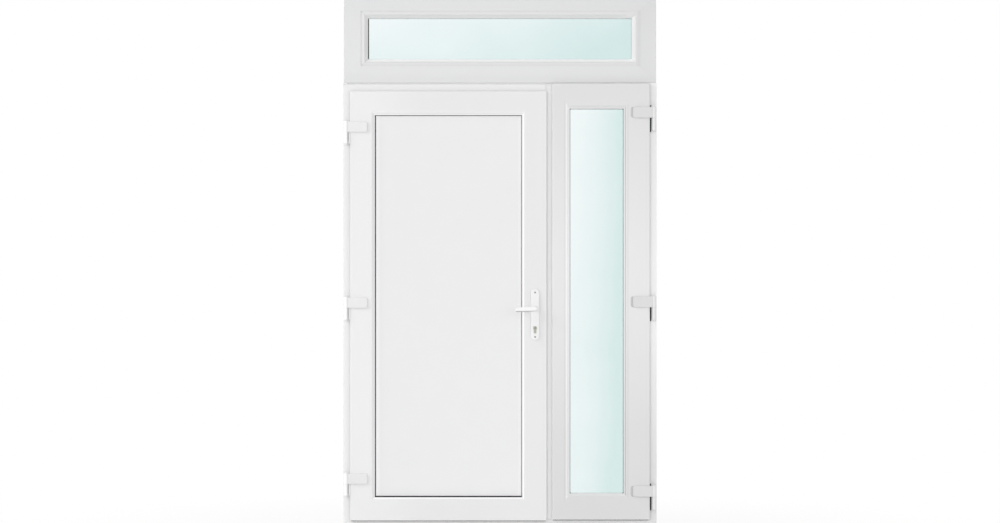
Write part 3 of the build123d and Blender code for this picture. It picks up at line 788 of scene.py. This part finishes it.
# Painted shade: the lever's lowest few millimetres are darker.
lever_up = ((1.0300, 168), (1.0346, 168), (1.0358, 243), (1.0600, 243))
lever_coat = white_coat("lever coat", 243, roughness=0.25, up=lever_up)
cylinder_metal = matt_metal("dulled nickel", (0.52, 0.52, 0.45), 0.42)
finish(["lock_cylinder"], cylinder_metal)
plated = matt_metal("zinc plate", (0.6, 0.6, 0.58), 0.36, grain_scale=(1, 1, 0.05))
finish(["spindle", "lock_faceplate", "strike_plates", "side_edge_bolts"], plated)
handle_x, spindle_z, cylinder_z = 0.168, 1.046, 0.954


def superellipse(angle, power):
    """The cosine and the sine of an angle, each raised to two over a power and given its own sign back."""
    return [np.sign(part) * abs(part) ** (2 / power) for part in (np.cos(angle), np.sin(angle))]


def swept_lever(foot, outward):
    """A lever along a path of a straight, a quarter circle and a straight. Each ring is a superellipse
    across the path: thickness along the path's level normal, height along Z. Both, the ring's middle height
    and the exponent follow the distance run, and a half-ellipse dome closes the tip. The bend's outer side
    is drawn towards a square corner by the larger of the turn's sine and cosine to a power, and the front of
    the grip is undercut over the lower part of its height."""
    rooted, neck, bend, tip = 0.005, 0.0395, 0.0110, 0.0085
    squareness = 0.95
    undercut_from, undercut_height, undercut_depth = 0.40, 0.45, 0.8
    grip = handle_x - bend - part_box("outside_lever")[0].x
    length = neck + bend * np.pi / 2 + grip
    run = np.concatenate([
        np.linspace(0, neck, 4), neck + bend * np.pi / 2 * np.linspace(0, 1, 19)[1:],
        neck + bend * np.pi / 2 + np.linspace(0, 1, 20)[1:] * (grip - tip),
        length - tip + tip * np.sin(np.linspace(0, 1, 12)[1:] * np.pi / 2),
    ])
    turn = np.clip((run - neck) / bend, 0, np.pi / 2)
    along = np.clip(run - neck - bend * np.pi / 2, 0, None)
    x = handle_x - bend * (1 - np.cos(turn)) - along
    out = rooted + np.minimum(run, neck) + bend * np.sin(turn)
    past_tip = np.clip((run - (length - tip)) / tip, 0, 1)
    closing = np.sqrt(np.clip(1 - past_tip ** 2, 0.0004, 1))
    start = neck * 0.75
    thick = np.interp(run, [0, start, 0.085, length], [0.0092, 0.0092, 0.0074, 0.0068]) * closing
    high = closing * np.interp(
        run, [0, start, 0.062, 0.080, 0.120, length], [0.0092, 0.0092, 0.0122, 0.0124, 0.0108, 0.0088],
    )
    middle = spindle_z + np.interp(run, [0, start, 0.062, 0.120, length], [0, 0, -0.0010, -0.0038, -0.0052])
    power = np.interp(run, [0, start, 0.080, length], [2.0, 2.0, 2.7, 2.5])[:, None]
    thick, high = thick[:, None], high[:, None]
    across, up = superellipse(np.linspace(0, 2 * np.pi, 40, endpoint=False)[None, :], power)
    across, up = across * thick, up * high
    corner = np.maximum(np.cos(turn), np.sin(turn))[:, None] ** squareness
    squared = ((bend + thick) / corner - bend) / thick
    undercut = np.clip((-up / high - undercut_from) / undercut_height, 0, 1) * np.sin(turn)[:, None]
    across = np.where(across > 0, across * squared * (1 - undercut_depth * undercut), across)
    ring_x = x[:, None] + across * np.cos(turn)[:, None]
    ring_out = out[:, None] + across * np.sin(turn)[:, None]
    return skin(np.stack([ring_x, foot - outward * ring_out, middle[:, None] + up], -1))


def collar(foot, outward):
    """A ring round the neck: a low turned section with a rounded shoulder, open for the neck to turn in."""
    section = [(0.0099, 0.0001), (0.0140, 0.0001), (0.0140, 0.0012), (0.0136, 0.0022), (0.0126, 0.0030),
               (0.0112, 0.0034), (0.0102, 0.0034), (0.0099, 0.0030)]
    return turned((handle_x, foot, spindle_z), (0, -outward, 0), section, joined_rows=True)


def pan_screw(place, facing, radius, height):
    """A low domed screw head with a cross recess that stops just above its seat."""
    recess = cross_outline(radius * 0.62, radius * 0.17)
    rings = [(radius, -0.0003), (radius, height * 0.3), (radius * 0.9, height * 0.72),
             (radius * 0.68, height), (recess, height), (recess * 0.9, height * 0.12)]
    return turned(place, facing, rings)


screw_steel = matt_metal("dark screw steel", (0.30, 0.30, 0.29), 0.4)
key_dark = black_rubber("keyway shade", 18)
plate_screw_heights = (1.1240, 0.9115)
plate_screw_radius, plate_screw_dome = 0.0042, 0.0016
key_slot = bar_outline(0.0013, 0.0042)
plug = [(0.0066, -0.0004), (0.0066, 0.0007), (0.0062, 0.0012), (key_slot, 0.0012), (key_slot, 0.0001)]
keyway_half, keyway_relief = (0.0012, 0.0041), 0.0003
for name, outward, seen, seated in (("outside", 1, 0, 1), ("inside", -1, 1, 0)):
    backplate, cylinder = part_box(f"{name}_backplate"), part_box("lock_cylinder")
    foot, face, cylinder_end = backplate[seated].y, backplate[seen].y, cylinder[seen].y
    facing = (0, -outward, 0)
    lever_skin = swept_lever(foot, outward)
    lever = new_piece(f"{name}_swept_lever", [lever_skin], lever_coat, "lever")
    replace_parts(lever, f"{name}_lever")
    new_piece(f"{name}_collar", [collar(face, outward)], handle_coat, "main_leaf")
    new_piece(
        f"{name}_plate_screws",
        [pan_screw((handle_x, face, z), facing, plate_screw_radius, plate_screw_dome)
         for z in plate_screw_heights],
        screw_steel, "main_leaf",
    )
    new_piece(
        f"{name}_cylinder_plug", [turned((handle_x, cylinder_end, cylinder_z), facing, plug)],
        cylinder_metal, "main_leaf",
    )
    keyway = rounded_slab(
        (handle_x, cylinder_z), keyway_half, cylinder_end, cylinder_end - outward * keyway_relief,
        corner=0.0003, edge=0.0001,
    )
    new_piece(f"{name}_keyway", [keyway], key_dark, "main_leaf")


# Lock on the main leaf's edge: plated screws in the long faceplate, a bevelled latch and a deadbolt drawn
# back until they just stand out of it, and two hooks. The strike plates on the post are screwed on the same
# way, over openings for latch and bolts.
bolt_steel = matt_metal("ground bolt steel", (0.56, 0.56, 0.55), 0.28)
low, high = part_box("lock_faceplate")
edge_x, plate_middle = high.x, (low.y + high.y) / 2
lock_screw_radius, lock_screw_dome = 0.0036, 0.0009
faceplate_screw_heights = (0.275, 0.455, 0.640, 0.830, 1.150, 1.320, 1.500, 1.680, 1.825)
new_piece(
    "faceplate_screws",
    [pan_screw((edge_x, plate_middle, z), (1, 0, 0), lock_screw_radius, lock_screw_dome)
     for z in faceplate_screw_heights],
    plated, "main_leaf",
)
bolt_root = edge_x - 0.001
latch_half_width, latch_nose = 0.0062, 0.0030
latch_front, latch_back = plate_middle - latch_half_width, plate_middle + latch_half_width
latch_shoulder, latch_end = edge_x + 0.0018, edge_x + 0.0046
latch_low, latch_high = 1.030, 1.062
latch_ring = np.array([
    (bolt_root, latch_front), (bolt_root, latch_back), (latch_shoulder, latch_back),
    (latch_end, latch_front + latch_nose), (latch_end, latch_front),
])
latch = skin(np.stack([
    np.column_stack([latch_ring, np.full(len(latch_ring), z)]) for z in (latch_low, latch_high)
]))
new_piece("latch_bolt", [latch], bolt_steel, "main_leaf", sharp=20)
bolt_heights_and_halves = ((cylinder_z, 0.018), (0.405, 0.022), (1.690, 0.022))
bolt_half_width, bolt_end = 0.0050, edge_x + 0.0024
new_piece(
    "dead_and_hook_bolts",
    [rounded_slab(
        (plate_middle, z), (bolt_half_width, half), bolt_root, bolt_end, corner=0.0012, edge=0.0004,
        plane="yz",
    ) for z, half in bolt_heights_and_halves],
    bolt_steel, "main_leaf",
)

strike_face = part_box("strike_plates")[0].x
strike_screw_heights = (0.392, 0.468, 0.915, 1.105, 1.632, 1.708)
new_piece(
    "strike_screws",
    [pan_screw((strike_face, plate_middle, z), (-1, 0, 0), lock_screw_radius, lock_screw_dome)
     for z in strike_screw_heights],
    plated, "frame",
)
# Dark slabs in the strike plates' openings: painted shade inside them.
opening_heights_and_halves = ((0.430, 0.024), (cylinder_z, 0.022), (spindle_z, 0.020), (1.670, 0.024))
opening_half_width, opening_back, opening_front = 0.0055, strike_face + 0.0003, strike_face - 0.0002
new_piece(
    "strike_openings",
    [rounded_slab(
        (plate_middle, z), (opening_half_width, half), opening_back, opening_front, corner=0.0012,
        edge=0.0001, plane="yz",
    ) for z, half in opening_heights_and_halves],
    key_dark, "frame",
)


# Edge bolts of the side leaf: plated steel plates let into its meeting edge at head and foot, held by two
# screws each. A small lever in a recess of the plate, drawn out with a finger, throws the bolt.
edge_bolt_heights = (0.170, 1.990)
edge_screw_heights, edge_screw_radius = (0.100, 0.240, 1.920, 2.060), 0.0034
edge_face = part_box("side_edge_bolts")[0].x
finger_back = edge_face + 0.0002
lever_half, lever_front = (0.0045, 0.0200), edge_face - 0.0020
recess_half, recess_front = (0.0062, 0.0260), edge_face - 0.0003
new_piece(
    "edge_bolt_levers",
    [rounded_slab(
        (plate_middle, z), lever_half, finger_back, lever_front, corner=0.0015, edge=0.0005, plane="yz",
    ) for z in edge_bolt_heights],
    bolt_steel, "side_leaf",
)
# The recess is drawn as a dark slab behind the lever: painted shade.
new_piece(
    "edge_bolt_recesses",
    [rounded_slab(
        (plate_middle, z), recess_half, finger_back, recess_front, corner=0.0020, edge=0.0001, plane="yz",
    ) for z in edge_bolt_heights],
    key_dark, "side_leaf",
)
new_piece(
    "edge_bolt_screws",
    [pan_screw((edge_face, plate_middle, z), (-1, 0, 0), edge_screw_radius, lock_screw_dome)
     for z in edge_screw_heights],
    plated, "side_leaf",
)
